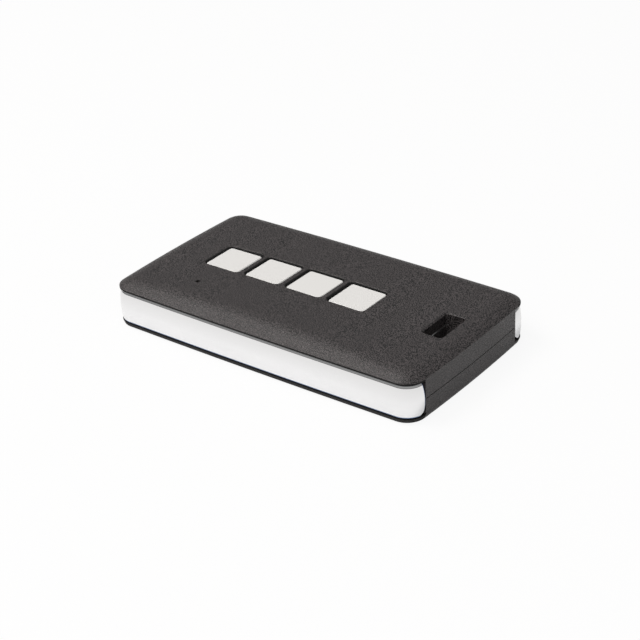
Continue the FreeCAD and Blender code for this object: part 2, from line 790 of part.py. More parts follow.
def make_trim(label, turned):
    """A chromed side strip: barrel section, wrapped round two corners, with D-shaped ends."""
    body = new_body(label)
    path = new_sketch(body)
    trim_path(path)
    section = new_sketch(body, "0", "YZ_Plane")
    low_y, high_y = [f"-(trim_axis + sqrt(trim_barrel ^ 2 - ({level} - trim_bulge_height) ^ 2))"
                     for level in ("trim_low", "trim_high")]
    figure(section, (("-trim_back", "trim_low"), ("-trim_back", "trim_high"), (high_y, "trim_high"),
                     (low_y, "trim_low")), {2: "trim_barrel"})
    strip = body.newObject("PartDesign::AdditivePipe", "strip")
    strip.Profile = section
    strip.Spine = path
    shape_trim_end(body, "trim_short_axis", False)
    shape_trim_end(body, "trim_long_axis", True)

    # Pegs on the back of the strip
    pegs = new_sketch(body, "trim_back + trim_depth / 2", "XZ_Plane")
    rectangles(pegs, PEG_PLACES, "peg_size", "peg_size")
    add(body, pegs, "trim_depth / 2 + trim_back_gap + peg_length", back=True)
    body.Placement.Rotation = FreeCAD.Rotation(V(0, 0, 1), turned)


def make_screws():
    """Four self-tapping screws, alike: flat head with a cross, and shank."""
    body = new_body("housing_screws", "screw_far_x", "-screw_y")
    screw = turn(body, lambda s: figure(
        s, (("0", "screw_head_low"), ("screw_head_radius", "screw_head_low"),
            ("screw_head_radius", "counterbore_depth"), ("screw_radius", "counterbore_depth"),
            ("screw_radius", "screw_top"), ("0", "screw_top"))))
    low, high = f"screw_head_low - {SINK}", "screw_head_low + screw_cross_depth"
    slots = [hollow(body, low, high, lambda s: rectangle(s, "0", "0", *size))
             for size in (("screw_cross_span", "screw_cross_width"),
                          ("screw_cross_width", "screw_cross_span"))]
    doc.recompute()
    pattern = body.newObject("PartDesign::LinearPattern", "screw_pattern")
    pattern.Originals = [screw] + slots
    pattern.Direction = (screw.Profile[0], ["H_Axis"])
    pattern.setExpression("Length", formula("screw_near_x - screw_far_x"))
    pattern.Occurrences = 2
    pattern.Direction2 = (slots[0].Profile[0], ["V_Axis"])
    pattern.setExpression("Length2", formula("2 * screw_y"))
    pattern.Occurrences2 = 2
    body.Tip = pattern


# Keys and switches

def make_key(label, x):
    """A key cap: crowned top, hollow skirt with a flange, and a ribbed plunger."""
    body = new_body(label, x)
    face = crown_at("(crown_height - key_recess)", x)
    shoulder = f"{face} - key_edge_chamfer"
    layer(body, "flange_low", shoulder, lambda s: square(s, "key_size", "key_corner"))
    layer(body, shoulder, f"{face} + {SLOPE_MARGIN}",
          lambda s: square(s, "key_size", "key_corner"), "-chamfer_angle")
    flange = "key_size + 2 * flange_width"
    layer(body, "flange_low", "flange_top", lambda s: rectangle(s, "0", "0", flange, flange))
    cut_crown(body, "(crown_height - key_recess)", f"key_size / 2 + flange_width + {MARGIN}", x)
    roof = "flange_low + key_hollow"
    hollow(body, "flange_low", roof, lambda s: rectangle(s, "0", "0", "key_inside", "key_inside"))
    layer(body, "stem_top", f"{roof} + {SINK}",
          lambda s: rectangle(s, "0", "0", "plunger_size", "plunger_size"))
    inside = f"key_inside + {SINK}"
    layer(body, "flange_top", f"{roof} + {SINK}", lambda s: rectangle(s, "0", "0", inside, "key_rib"))
    layer(body, "flange_top", f"{roof} + {SINK}", lambda s: rectangle(s, "0", "0", "key_rib", inside))


def make_switch(index, x):
    """A tact switch in its five pieces: base, four leads, snap plate, stem and sheet cover."""
    base = new_body(f"switch_{index}_base", x)
    layer(base, "board_top", "switch_top",
          lambda s: rectangle(s, "0", "0", "switch_size", "switch_size"))
    hollow(base, "well_floor", f"switch_top + {MARGIN}",
           lambda s: rectangle(s, "0", "0", "switch_well_size", "switch_well_size"))

    leads = new_body(f"switch_{index}_terminals", x)
    reach = "(switch_size / 2 + lead_length / 2)"
    places = [(f"{i} * {reach}", f"{j} * lead_spacing / 2") for i in (-1, 1) for j in (-1, 1)]
    layer(leads, "board_top", "board_top + lead_thickness",
          lambda s: rectangles(s, places, "lead_length", "lead_width"))

    dome = new_body(f"switch_{index}_dome", x)
    layer(dome, "well_floor", "well_floor + dome_thickness",
          lambda s: rectangle(s, "0", "0", "dome_size", "dome_size"))
    layer(dome, "well_floor", "well_floor + dome_rise + dome_thickness",
          lambda s: rectangle(s, "0", "0", "dome_crown", "dome_crown"))
    inside = "dome_crown - 2 * dome_thickness"
    hollow(dome, "well_floor", "well_floor + dome_rise",
           lambda s: rectangle(s, "0", "0", inside, inside))

    stem = new_body(f"switch_{index}_stem", x)
    collar = "stem_size + 2 * stem_collar_width"
    layer(stem, "stem_low", "stem_top", lambda s: rectangle(s, "0", "0", "stem_size", "stem_size"))
    layer(stem, "stem_low", "stem_low + stem_collar_height",
          lambda s: rectangle(s, "0", "0", collar, collar))

    cover = new_body(f"switch_{index}_frame", x)
    layer(cover, "switch_top", "frame_top",
          lambda s: rectangle(s, "0", "0", "switch_size", "switch_size"))
    side = "(switch_size / 2 + switch_tab_thickness / 2)"
    layer(cover, "switch_top - switch_tab_drop", "frame_top", lambda s: rectangles(
        s, (("0", f"-{side}"), ("0", side)), "switch_tab_width", "switch_tab_thickness"))
    passage = "stem_size + 2 * stem_clearance"
    hollow(cover, f"switch_top - {SINK}", f"frame_top + {SINK}",
           lambda s: rectangle(s, "0", "0", passage, passage))


# Board, battery and electronics

def board_outline(sketch):
    """A rectangle with a square notch at each corner."""
    far, near, side = "board_far", "board_near", "(board_width / 2)"
    notch_far, notch_near = "(screw_far_x + notch_length)", "(screw_near_x - notch_length)"
    notch_y = "(screw_y - notch_length)"
    rear = ((near, notch_y), (notch_near, notch_y), (notch_near, side), (notch_far, side),
            (notch_far, notch_y), (far, notch_y))
    front = [(x, f"-{y}") for x, y in reversed(rear)]
    figure(sketch, list(rear) + front)


def make_board():
    """The circuit board, notched round the screw bosses, with holes for the posts' pins."""
    body = new_body("circuit_board")
    layer(body, "board_low", "board_top", board_outline)
    hole = "pin_size + 2 * pin_clearance"
    hollow(body, f"board_low - {SINK}", f"board_top + {SINK}",
           lambda s: rectangles(s, PIN_PLACES, hole, hole))


def make_battery():
    """The coin cell, the strap that carries it under the board and the pad on its other face."""
    cell = new_body("coin_cell", "cell_x")
    step = "cell_top - cell_cap_step"
    turn(cell, lambda s: figure(
        s, (("0", "cell_low"), ("cell_radius", "cell_low"), ("cell_radius", step),
            ("cell_cap_radius", step), ("cell_cap_radius", "cell_top"), ("0", "cell_top"))))

    clip = new_body("battery_clip", "cell_x")
    inner, outer = "cup_radius", "(cup_radius + strap_thickness)"
    foot, foot_low = "(cup_radius + strap_foot)", "board_low - strap_thickness"
    half = [(outer, "strap_low"), (outer, foot_low), (foot, foot_low), (foot, "board_low"),
            (inner, "board_low"), (inner, "cell_low")]
    mirrored = [(f"-{y}", z) for y, z in reversed(half)]
    sketch = new_sketch(clip, "0", "YZ_Plane")
    figure(sketch, half + mirrored)
    add(clip, sketch, "strap_width", both=True)

    pad = new_body("battery_pad", "cell_x")
    layer(pad, "cell_top", "board_low", lambda s: rectangle(s, "0", "0", "pad_size", "pad_size"))


def meander(sketch):
    """A printed trace that runs to and fro: walked along one side and back along the other."""
    run = []
    for leg in range(ANTENNA_LEGS):
        ends = (0, 1) if leg % 2 == 0 else (1, 0)
        run += [(end, leg - (ANTENNA_LEGS - 1) / 2) for end in ends]
    lefts = []
    for (x, y), (next_x, next_y) in zip(run, run[1:]):
        step_x, step_y = next_x - x, next_y - y
        length = math.hypot(step_x, step_y)
        lefts.append((-step_y / length, step_x / length))
    near, far = [], []
    for i, (x, y) in enumerate(run):
        beside = lefts[max(i - 1, 0):i + 1]
        shift_x, shift_y = sum(item[0] for item in beside), sum(item[1] for item in beside)
        for side, points in ((-1, near), (1, far)):
            points.append((f"trace_far + {x} * trace_reach + {side * shift_x} * trace_width / 2",
                           f"{y} * trace_pitch + {side * shift_y} * trace_width / 2"))
    figure(sketch, near + far[::-1])


def make_radio():
    """The radio module's own board, its shield can and its printed antenna."""
    board = new_body("wifi_module")
    layer(board, "board_top", "module_top",
          lambda s: rectangle(s, "module_x", "0", "module_length", "module_width"))
    middle = (CASTELLATION_COUNT - 1) / 2
    places = [(f"module_x + {i - middle} * castellation_pitch", f"{side} * module_width / 2")
              for side in (-1, 1) for i in range(CASTELLATION_COUNT)]
    hollow(board, f"board_top - {SINK}", f"module_top + {SINK}",
           lambda s: rectangles(s, places, "castellation_size", "castellation_size"))

    shield = new_body("wifi_shield")
    layer(shield, "module_top", "shield_top",
          lambda s: rectangle(s, "shield_x", "0", "shield_length", "shield_width"))

    antenna = new_body("wifi_antenna")
    layer(antenna, "module_top", "module_top + trace_thickness", meander)


def make_small_parts():
    """Controller, crystal, regulator, indicator, capacitors and resistors on the board."""
    controller = new_body("microcontroller", "controller_x")
    top = "board_top + controller_height"
    layer(controller, "board_top", top,
          lambda s: rectangle(s, "0", "0", "controller_size", "controller_size"))
    corner = "(controller_size / 2 - 1.5 * controller_mark_size)"
    hollow(controller, f"{top} - controller_mark_depth", f"{top} + {SINK}", lambda s: rectangle(
        s, f"-{corner}", f"-{corner}", "controller_mark_size", "controller_mark_size"))

    crystal = new_body("crystal", "controller_x")
    layer(crystal, "board_top", "board_top + crystal_height - crystal_lid_height",
          lambda s: rectangle(s, "0", "crystal_y", "crystal_length", "crystal_width"))
    lid_low = f"board_top + crystal_height - crystal_lid_height - {SINK}"
    layer(crystal, lid_low, "board_top + crystal_height", lambda s: rectangle(
        s, "0", "crystal_y", "crystal_length - 2 * crystal_lid_margin",
        "crystal_width - 2 * crystal_lid_margin"))

    regulator = new_body("voltage_regulator", "controller_x")
    layer(regulator, "board_top", "board_top + regulator_height",
          lambda s: rectangle(s, "0", "regulator_y", "regulator_length", "regulator_width"))
    reach = "(regulator_width / 2 + regulator_lead / 2)"
    places = (("-regulator_lead_pitch", f"regulator_y - {reach}"),
              ("regulator_lead_pitch", f"regulator_y - {reach}"), ("0", f"regulator_y + {reach}"))
    layer(regulator, "board_top", "board_top + lead_thickness",
          lambda s: rectangles(s, places, "lead_width", "regulator_lead"))

    indicator = new_body("status_led", "pinhole_x")
    layer(indicator, "board_top", "board_top + led_base_height",
          lambda s: rectangle(s, "0", "pinhole_y", "led_length", "led_width"))
    layer(indicator, "board_top + led_base_height", "board_top + led_base_height + led_lens_height",
          lambda s: rectangle(s, "0", "pinhole_y", "led_lens_size", "led_lens_size"))

    for label, places, height in (("capacitors", CAPACITOR_PLACES, "capacitor_height"),
                                  ("resistors", RESISTOR_PLACES, "resistor_height")):
        chips = new_body(label)
        layer(chips, "board_top", f"board_top + {height}",
              lambda s: rectangles(s, places, "chip_length", "chip_width"))


make_top_cover()
make_bottom_cover()
make_trim("side_trim_front", 0)
make_trim("side_trim_rear", 180)
make_screws()
make_board()
make_battery()
make_radio()
make_small_parts()
for key in range(KEY_COUNT):
    make_key(f"button_{key + 1}", key_place(key))
    make_switch(key + 1, key_place(key))

# Check every object and write every node
doc.recompute()
failed = [item.Name for item in doc.Objects if "Invalid" in item.State or "Error" in item.State]
if failed:
    raise RuntimeError("Failed objects: " + ", ".join(failed))
for node in nodes:
    if node.Shape.isNull() or not node.Shape.isValid():
        raise RuntimeError(f"{node.Label} has no valid shape")
os.makedirs("parts", exist_ok=True)
for node in nodes:
    node.Shape.exportStep(f"parts/{node.Label}.step")
    print(node.Label, len(node.Shape.Solids), "solids,", round(node.Shape.Volume, 2), "cubic mm")
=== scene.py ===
"""Looks of a four-key wi-fi remote control: matt black case, chromed side trims, warm white keys."""
import json
import math
import bmesh
import bpy
from mathutils import Matrix, Vector


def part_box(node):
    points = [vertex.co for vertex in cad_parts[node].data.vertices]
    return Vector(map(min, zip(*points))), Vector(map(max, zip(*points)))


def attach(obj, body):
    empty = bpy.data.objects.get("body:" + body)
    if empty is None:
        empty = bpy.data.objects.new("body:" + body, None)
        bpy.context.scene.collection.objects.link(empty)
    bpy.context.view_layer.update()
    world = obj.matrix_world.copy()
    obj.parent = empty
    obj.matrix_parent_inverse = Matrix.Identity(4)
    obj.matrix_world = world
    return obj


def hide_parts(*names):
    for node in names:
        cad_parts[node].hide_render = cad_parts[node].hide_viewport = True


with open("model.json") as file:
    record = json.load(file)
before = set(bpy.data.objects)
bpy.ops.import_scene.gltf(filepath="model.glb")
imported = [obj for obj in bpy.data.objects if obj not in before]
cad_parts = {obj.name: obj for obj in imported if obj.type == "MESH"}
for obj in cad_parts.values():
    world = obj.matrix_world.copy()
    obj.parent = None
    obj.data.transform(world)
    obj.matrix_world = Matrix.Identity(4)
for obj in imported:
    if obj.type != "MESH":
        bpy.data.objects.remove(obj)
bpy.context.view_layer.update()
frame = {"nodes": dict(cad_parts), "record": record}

nodes = frame["nodes"]
MM = 0.001

# Camera: a long lens from the front near corner
CAMERA_AIM = Vector((1.216, -0.654, 2.726)) * MM
CAMERA_DISTANCE = 325.67 * MM
CAMERA_AZIMUTH = math.radians(38.31)
CAMERA_ELEVATION = math.radians(29.01)
CAMERA_ROLL = math.radians(-2.88)
SENSOR = 36.0
LENS = 90.52
SHIFT_UP = 0.7 / 640

# Sizes of the CAD pieces that the looks are fitted to
case_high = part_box("bottom_cover")[1]
HALF_LENGTH, HALF_WIDTH = case_high.x, case_high.y
TRIM_LOW, TRIM_TOP = (corner.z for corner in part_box("side_trim_front"))
CROWN_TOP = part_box("top_cover")[1].z
ROW_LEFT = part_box("button_1")[0].x
ROW_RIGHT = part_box("button_4")[1].x
ROW_HALF_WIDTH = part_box("button_4")[1].y
KEY_PITCH = ROW_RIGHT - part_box("button_3")[1].x
FLANGE = 0.6 * MM
KEY_LEFT = ROW_LEFT + FLANGE
KEY_HALF_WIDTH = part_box("button_1")[1].y - FLANGE

# Outline of the case and section of its trims, which the case's box doesn't give
SIDE_RADIUS = 2180 * MM
END_RADIUS = 365 * MM
CORNER_RADIUS = 4.1 * MM
TRIM_BARREL = 18 * MM
TRIM_STAND = 0.149 * MM
TRIM_BULGE = 4.3 * MM
TRIM_BACK = 0.9 * MM
END_BOW = 16 * MM
END_TOP_CORNER = 0.5 * MM
END_BASE_CORNER = 1.7 * MM
SHORT_END = 0.17 * MM
LONG_END = 1.07 * MM
END_FILL = 0.08 * MM
EDGE_EASE = 0.22 * MM
END_EASE = 0.45 * MM
CHAMFER = 0.26 * MM
CHAMFER_SLOPE = math.tan(math.radians(10))
TOP_GAP = 0.08 * MM

# Steps that a trim's section and sweeps are cut into
EASE_STEPS = 5
FACE_CUTS = 15
SIDE_STEPS = 12
CORNER_STEPS = 20
END_STEPS = 2
MERGE_GAP = 1e-7

# Painted light on the case: painted shadow lines at the trims, painted shade in the key wells and on
# the openings' left rims, and a painted highlight on the seam in the slot
# Painted shadow line from each trim's top up to LINE_TOP, and painted shade on the lip below the
# trims, both only along the sides past LINE_END
LINE_TOP = 8.67 * MM
LINE_END = 16.3 * MM
LINE_FADE = 0.03 * MM
LIP_SHADE = 0.8
LIP_BASE = 0.02 * MM
# Painted shade in the key wells: where the surface lies more than RIM_DEPTH below a crown of this
# radius
CROWN_RADIUS = 877 * MM
RIM_DEPTH = 0.12 * MM
# Painted shade on the keys' left rims: its width, darkest share, and reach across and along the row
RIM_SHADE = 0.8 * MM
RIM_DARKEST = 0.9
RIM_INSET = 0.6 * MM
RIM_OUTSET = 0.2 * MM
ROW_MARGIN = 0.3 * MM
MARGIN_FADE = 0.1 * MM
# Near-black colour of all painted shade on the case
PAINTED_SHADE_BLACK = 0.002
# Height of the seam, and the painted highlight on its ledge in the slot: width, length, grey and
# share left at the back
SEAM = 7.9 * MM
SEAM_WIDTH = 0.25 * MM
SEAM_LENGTH = 0.5 * MM
SEAM_HIGHLIGHT_GREY = 0.9
SEAM_REST = 0.1
SLOT_LEFT = 28.4 * MM

# Patterns in the finishes: their sizes, and the band of a noise that shows
MOTTLE_SIZE = 6 * MM
RUBBED_SIZE, CASE_RUBBED_SIZE = 11 * MM, 13 * MM
RUBBED_LOW, RUBBED_HIGH = 0.45, 0.75
GRAIN_LOW, GRAIN_HIGH = 0.42, 0.58
HAZE_SIZE = 9 * MM
PEEL_SIZE = 2.5 * MM
DARKER_SHARE = 0.93

# Painted reflections on the trims: a bluish painted reflection on the front trim's edges, and a
# darker painted reflection on both trims' upper part
BLUE_REFLECTION_START, BLUE_REFLECTION_FULL = -0.01, -0.06
LOW_REFLECTION_START, LOW_REFLECTION_FULL = 0.40 * MM, 0.20 * MM
UPPER_REFLECTION_GREY = 0.80

# Light levels of the room, and how white floor and room are to the camera and in gloss
HORIZON_LEVEL, ZENITH_LEVEL = 0.06, 0.46
ROOM_IN_GLOSS = 0.1
FLOOR_IN_GLOSS = 0.25
FLOOR_WHITE = 0.9
FLOOR_SIZE = 1.5
FLOOR_DROP = 0.02 * MM
PAPER_FIBRE = 60 * MM


class Sum:
    """A number in a net of shader nodes, so that sums of patterns are written as arithmetic."""

    def __init__(self, wiring, socket):
        self.wiring, self.socket = wiring, socket

    def math(self, operation, first, second):
        return self.wiring.node("ShaderNodeMath", {"operation": operation}, {0: first, 1: second})

    def __add__(self, other):
        return self.math("ADD", self, other)

    def __radd__(self, other):
        return self.math("ADD", other, self)

    def __sub__(self, other):
        return self.math("SUBTRACT", self, other)

    def __rsub__(self, other):
        return self.math("SUBTRACT", other, self)

    def __mul__(self, other):
        return self.math("MULTIPLY", self, other)

    def __rmul__(self, other):
        return self.math("MULTIPLY", other, self)

    def __truediv__(self, other):
        return self.math("DIVIDE", self, other)


class Wiring:
    """The nodes of one material or of the world."""

    def __init__(self, holder):
        holder.use_nodes = True
        self.tree = holder.node_tree

    def node(self, kind, settings, inputs, output=0):
        made = self.tree.nodes.new(kind)
        for name, value in settings.items():
            setattr(made, name, value)
        for name, value in inputs.items():
            if isinstance(value, Sum):
                self.tree.links.new(value.socket, made.inputs[name])
            else:
                made.inputs[name].default_value = value
        return Sum(self, made.outputs[output])

    def shown(self, plain, mirrored_share):
        """Plain where light falls, white to the camera, and nearer to white in gloss and glass."""
        seen, gloss, glass = [self.node("ShaderNodeLightPath", {}, {}, ray) for ray in
                              ("Is Camera Ray", "Is Glossy Ray", "Is Transmission Ray")]
        share = seen + (gloss + glass) * mirrored_share
        return plain + (1 - plain) * share


class Finish(Wiring):
    """One material: a Principled shader with its uniform values and the patterns fed into it."""

    def __init__(self, name, **uniform):
        self.material = bpy.data.materials.new(name)
        super().__init__(self.material)
        self.shader = self.tree.nodes["Principled BSDF"]
        self.place = self.node("ShaderNodeTexCoord", {}, {}, "Object")
        for socket, value in uniform.items():
            self.shader.inputs[socket.replace("_", " ")].default_value = value

    def feed(self, socket, value):
        self.tree.links.new(value.socket, self.shader.inputs[socket])

    def noise(self, size, detail, roughness=0.5):
        """Soft random pattern whose blobs are about `size` metres across."""
        return self.node("ShaderNodeTexNoise", {}, {"Vector": self.place, "Scale": 1 / size,
                         "Detail": detail, "Roughness": roughness})

    def pebbles(self, size):
        """Cell pattern for moulded grain, darkest at each pebble's middle."""
        return self.node("ShaderNodeTexVoronoi", {}, {"Vector": self.place, "Scale": 1 / size})

    def between(self, value, low, high, low_out=0.0, high_out=1.0):
        """`value` stretched from low..high to low_out..high_out, and held at the ends."""
        return self.node("ShaderNodeMapRange", {"clamp": True}, {"Value": value, "From Min": low,
                         "From Max": high, "To Min": low_out, "To Max": high_out})

    def past(self, value, edge, fade=LINE_FADE):
        """0 up to an edge, and 1 from a short fade after it."""
        return self.between(value, edge, edge + fade)

    def before(self, value, edge, fade=LINE_FADE):
        """1 up to an edge, and 0 from a short fade after it."""
        return self.between(value, edge, edge + fade, 1, 0)

    def blend(self, share, first, second):
        """Colour that goes from first to second with share."""
        inputs = {0: share, 6: first, 7: second}
        return self.node("ShaderNodeMix", {"data_type": "RGBA"}, inputs, 2)

    def axis(self, letter):
        return self.node("ShaderNodeSeparateXYZ", {}, {"Vector": self.place}, letter)

    def relief(self, height, depth):
        """Bump of `depth` metres between height 0 and 1."""
        return self.node("ShaderNodeBump", {}, {"Height": height, "Distance": depth})


def grey(level):
    return (level, level, level, 1.0)


def moulded_plastic(name, colour, shade, roughness, grain, depth):
    """Moulded plastic: fine grain, faint mottling from cooling, and grain polished by handling."""
    finish = Finish(name)
    mottle = finish.noise(MOTTLE_SIZE, 3.0)
    rubbed = finish.between(finish.noise(RUBBED_SIZE, 4.0, 0.6), RUBBED_LOW, RUBBED_HIGH)
    pits = finish.noise(grain, 3.0, 0.6)
    cells = finish.pebbles(grain * 1.7)
    height = pits * 0.7 + cells * 0.6
    finish.feed("Base Color", finish.blend(mottle * 0.6 + pits * 0.4, shade, colour))
    finish.feed("Roughness", roughness + pits * 0.12 - rubbed * 0.05)
    finish.feed("Normal", finish.relief(height, depth))
    return finish


def painted_case_shade(finish, along, aside, height):
    """Painted shade: shadow lines painted above and below the trims, and shade painted in the wells
    and on the left rims of the key openings.
    """
    # Painted shadow in the band between each trim's top and the cover, and painted shade on the lip
    # below the trim
    above = finish.past(height, TRIM_TOP - LINE_FADE) * finish.before(height, LINE_TOP)
    below = (finish.between(height, TRIM_LOW, TRIM_LOW + LINE_FADE, LIP_SHADE, 0)
             * finish.past(height, LIP_BASE))
    upper_case = finish.past(height, SEAM)
    row_end = finish.before(along, ROW_RIGHT)
    # Painted shade on a strip left of each key opening, darkening towards the opening
    step = finish.node("ShaderNodeMath", {"operation": "FLOORED_MODULO"},
                       {0: along - (KEY_LEFT - RIM_SHADE), 1: KEY_PITCH})
    rim_painted_shade = (finish.between(step, 0, RIM_SHADE / 2, 0, RIM_DARKEST)
            * finish.before(step, RIM_SHADE)
            * finish.before(aside, KEY_HALF_WIDTH - RIM_INSET, RIM_INSET + RIM_OUTSET)
            * finish.past(along, ROW_LEFT - ROW_MARGIN, MARGIN_FADE) * row_end * upper_case)
    # Painted shade in the key wells, where the surface is sunk below the crown
    sunk = CROWN_TOP - height - along * along / (2 * CROWN_RADIUS)
    well_shade = (finish.past(sunk, RIM_DEPTH) * finish.before(aside, ROW_HALF_WIDTH)
             * finish.past(along, ROW_LEFT - LINE_FADE) * row_end * upper_case)
    return (above + below) * finish.past(aside, LINE_END) + well_shade + rim_painted_shade


def eroded_plastic(name, colour, shade, roughness, grain, depth):
    """Matt plastic from a spark-eroded mould, with painted shade at the trims and key openings and a
    painted highlight on the seam in the slot.
    """
    finish = Finish(name)
    coarse = finish.between(finish.noise(grain, 0.0), GRAIN_LOW, GRAIN_HIGH)
    pits = finish.pebbles(grain * 0.8)
    rubbed = finish.between(finish.noise(CASE_RUBBED_SIZE, 4.0, 0.6), RUBBED_LOW, RUBBED_HIGH)
    along, across, height = [finish.axis(letter) for letter in "XYZ"]
    aside = finish.node("ShaderNodeMath", {"operation": "ABSOLUTE"}, {0: across})
    painted_shade = painted_case_shade(finish, along, aside, height)
    # Painted highlight on the seam's ledge inside the slot, fading towards the back
    seam_highlight = (finish.past(height, SEAM - SEAM_WIDTH) * finish.before(height, SEAM)
              * finish.before(aside, ROW_HALF_WIDTH) * finish.past(along, SLOT_LEFT)
              * finish.before(along, SLOT_LEFT + SEAM_LENGTH, MARGIN_FADE)
              * finish.between(across, -MM, MM, 1, SEAM_REST))
    grained = finish.blend(coarse, shade, colour)
    # Painted shade: near-black colour laid over the grain where shade is painted
    with_painted_shade = finish.blend(painted_shade, grained, grey(PAINTED_SHADE_BLACK))
    finish.feed("Base Color", finish.blend(seam_highlight, with_painted_shade, grey(SEAM_HIGHLIGHT_GREY)))
    # Roughness rises where shade is painted
    finish.feed("Roughness", roughness + coarse * 0.12 - rubbed * 0.04 + painted_shade * 0.4)
    finish.feed("Normal", finish.relief(coarse * 0.6 + pits * 0.6, depth))
    return finish


def plated_metal(name, colour, roughness, streak, depth, edge=None):
    """Plated or pressed metal: handling lines, slight haze, shallow orange peel, and, where an edge
    colour is given, a bluish painted reflection on the front strip's edges and a darker painted
    reflection on the upper part.
    """
    finish = Finish(name, Metallic=1.0)
    haze = finish.noise(HAZE_SIZE, 3.0)
    drawn_out = finish.node("ShaderNodeMapping", {}, {"Vector": finish.place, "Scale": streak})
    lines = finish.node("ShaderNodeTexNoise", {},
                        {"Vector": drawn_out, "Scale": 1.0, "Detail": 3.0})
    peel = finish.noise(PEEL_SIZE, 1.0)
    darker = tuple(DARKER_SHARE * part for part in colour[:3]) + (1.0,)
    tone = finish.blend(haze * 0.5 + lines * 0.5, darker, colour)
    if edge:
        facing = finish.node("ShaderNodeNewGeometry", {}, {}, "Normal")
        across = finish.node("ShaderNodeSeparateXYZ", {}, {"Vector": facing}, "Y")
        place, height = finish.axis("Y"), finish.axis("Z")
        inwards = across * place / HALF_WIDTH
        # Painted bluish reflection where the strip's surface turns inwards and along its low edge,
        # on the front strip only
        turned = (finish.between(inwards, BLUE_REFLECTION_START, BLUE_REFLECTION_FULL)
                  + finish.between(height, TRIM_LOW + LOW_REFLECTION_START, TRIM_LOW + LOW_REFLECTION_FULL))
        # Painted darker reflection: both strips' chrome greys towards their top
        upper_shade_share = finish.between(height, TRIM_BULGE, TRIM_TOP)
        front_strip = finish.between(place, MM, -MM)
        with_upper_shade = finish.blend(upper_shade_share, tone, grey(UPPER_REFLECTION_GREY))
        tone = finish.blend(turned * front_strip, with_upper_shade, edge)
    finish.feed("Base Color", tone)
    finish.feed("Roughness", roughness + haze * 0.03 + lines * 0.03)
    finish.feed("Normal", finish.relief(peel * 0.8 + lines * 0.2, depth))
    return finish


FINISHES = {
    "case_plastic": eroded_plastic("matt_black_plastic", (0.071, 0.062, 0.062, 1),
                                   (0.004, 0.0035, 0.0035, 1), 0.40, 0.21 * MM, 0.045 * MM),
    "key_plastic": moulded_plastic("warm_white_plastic", (0.785, 0.775, 0.755, 1),
                                   (0.765, 0.755, 0.735, 1), 0.40, 0.12 * MM, 0.003 * MM),
    # The last colour is the bluish painted reflection on the front strip's edges
    "chromed_trim": plated_metal("polished_chrome", (0.95, 0.953, 0.96, 1), 0.03, (60, 60, 900),
                                 0.0006 * MM, (0.10, 0.19, 0.38, 1)),
    "screw_steel": plated_metal("zinc_plated_steel", (0.62, 0.62, 0.63, 1), 0.28, (900, 900, 900),
                                0.004 * MM),
    "cell_can": plated_metal("nickelled_can", (0.72, 0.71, 0.69, 1), 0.22, (700, 40, 40),
                             0.002 * MM),
    "contact_brass": plated_metal("contact_brass", (0.78, 0.62, 0.33, 1), 0.25, (40, 700, 40),
                                  0.002 * MM),
    "tinned_steel": plated_metal("tinned_steel", (0.68, 0.69, 0.70, 1), 0.25, (300, 300, 40),
                                 0.003 * MM),
    "board_laminate": moulded_plastic("green_board", (0.02, 0.14, 0.06, 1), (0.015, 0.10, 0.045, 1),
                                      0.30, 0.5 * MM, 0.004 * MM),
    "chip_plastic": moulded_plastic("chip_plastic", grey(0.035), grey(0.025), 0.5, 0.1 * MM,
                                    0.006 * MM),
    "stem_plastic": moulded_plastic("stem_plastic", (0.55, 0.16, 0.10, 1), (0.45, 0.12, 0.08, 1),
                                    0.45, 0.15 * MM, 0.004 * MM),
    "indicator_plastic": moulded_plastic("indicator_plastic", (0.85, 0.84, 0.78, 1),
                                         (0.75, 0.74, 0.68, 1), 0.25, 0.3 * MM, 0.002 * MM),
}

for subpart in frame["record"]["subparts"]:
    node = nodes[subpart["node"]]
    for holder in node.material_slots:
        holder.material = FINISHES[subpart["material_slot"]].material


def corner_middle():
    """Middle of the outline's front right corner, which touches the bowed side and the bowed end."""
    x, y = HALF_LENGTH - CORNER_RADIUS, CORNER_RADIUS - HALF_WIDTH
    for _ in range(40):
        y = SIDE_RADIUS - HALF_WIDTH - math.sqrt((SIDE_RADIUS - CORNER_RADIUS) ** 2 - x ** 2)
        x = HALF_LENGTH - END_RADIUS + math.sqrt((END_RADIUS - CORNER_RADIUS) ** 2 - y ** 2)
    return Vector((x, y, 0))


SIDE_MIDDLE = Vector((0, SIDE_RADIUS - HALF_WIDTH, 0))
END_MIDDLE = Vector((HALF_LENGTH - END_RADIUS, 0, 0))
CORNER_MIDDLE = corner_middle()
LEAN = math.atan2(CORNER_MIDDLE.y - SIDE_MIDDLE.y, CORNER_MIDDLE.x)
SWING = math.atan2(CORNER_MIDDLE.y, CORNER_MIDDLE.x - END_MIDDLE.x)
CORNER_START_Y = CORNER_MIDDLE.y + CORNER_RADIUS * math.sin(LEAN)
CORNER_END_Y = CORNER_MIDDLE.y + CORNER_RADIUS * math.sin(SWING)


def settle(net, name, finish, node, body):
    """Make a finished net a smooth-shaded piece that stands for a CAD node and rides on a body."""
    mesh = bpy.data.meshes.new(name)
    net.to_mesh(mesh)
    net.free()
    mesh.materials.append(finish.material)
    mesh.shade_smooth()
    piece = bpy.data.objects.new(name, mesh)
    bpy.context.scene.collection.objects.link(piece)
    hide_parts(node)
    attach(piece, body)


